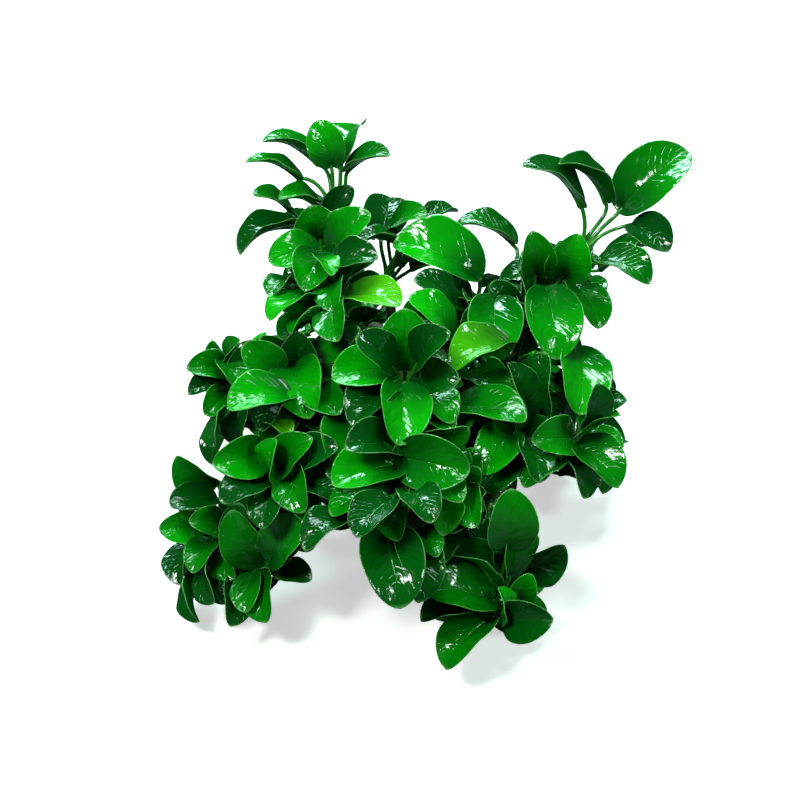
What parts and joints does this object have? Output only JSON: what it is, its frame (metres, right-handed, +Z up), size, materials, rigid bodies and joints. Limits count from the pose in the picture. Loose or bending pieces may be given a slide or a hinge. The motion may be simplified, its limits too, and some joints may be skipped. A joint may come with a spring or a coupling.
{
  "type": "anubias on stone",
  "caption": "Round-leaved aquarium plant whose rhizomes creep over a rounded stone and carry tufts of leaves on stalks; it stands on the stone's flat underside.",
  "frame": {"origin": "middle of the stone's flat underside", "axes": "+Z up; -Y is the side the plant shows best from"},
  "size_m": [0.1903, 0.2025, 0.1343],
  "materials": {
    "wet_dark_stone": "wet, rough",
    "rhizome_skin": "wet, satin",
    "wet_leaf": "wet, glossy"
  },
  "bodies": {
    "root": {"stone": "wet_dark_stone", "rhizome_left": "rhizome_skin", "rhizome_middle": "rhizome_skin", "rhizome_right": "rhizome_skin", "rhizome_back": "rhizome_skin", "shoot_top_left": "wet_leaf", "shoot_upper_left": "wet_leaf", "shoot_second_left": "wet_leaf", "shoot_middle_left": "wet_leaf", "shoot_centre": "wet_leaf", "shoot_centre_right": "wet_leaf", "shoot_inner_right": "wet_leaf", "shoot_front_left": "wet_leaf", "shoot_centre_low": "wet_leaf", "shoot_middle_low_right": "wet_leaf", "shoot_low_right": "wet_leaf", "shoot_low_left": "wet_leaf", "shoot_far_left_low": "wet_leaf", "shoot_small_left": "wet_leaf", "shoot_top_centre_left": "wet_leaf", "shoot_top_centre_right": "wet_leaf", "shoot_top_right": "wet_leaf", "shoot_upper_right": "wet_leaf", "shoot_upper_inner_right": "wet_leaf", "shoot_middle_right": "wet_leaf", "shoot_right": "wet_leaf", "shoot_back_left": "wet_leaf", "shoot_back_end": "wet_leaf", "shoot_back_middle": "wet_leaf", "shoot_back_right": "wet_leaf", "shoot_side_right": "wet_leaf"}
  },
  "joints": []
}
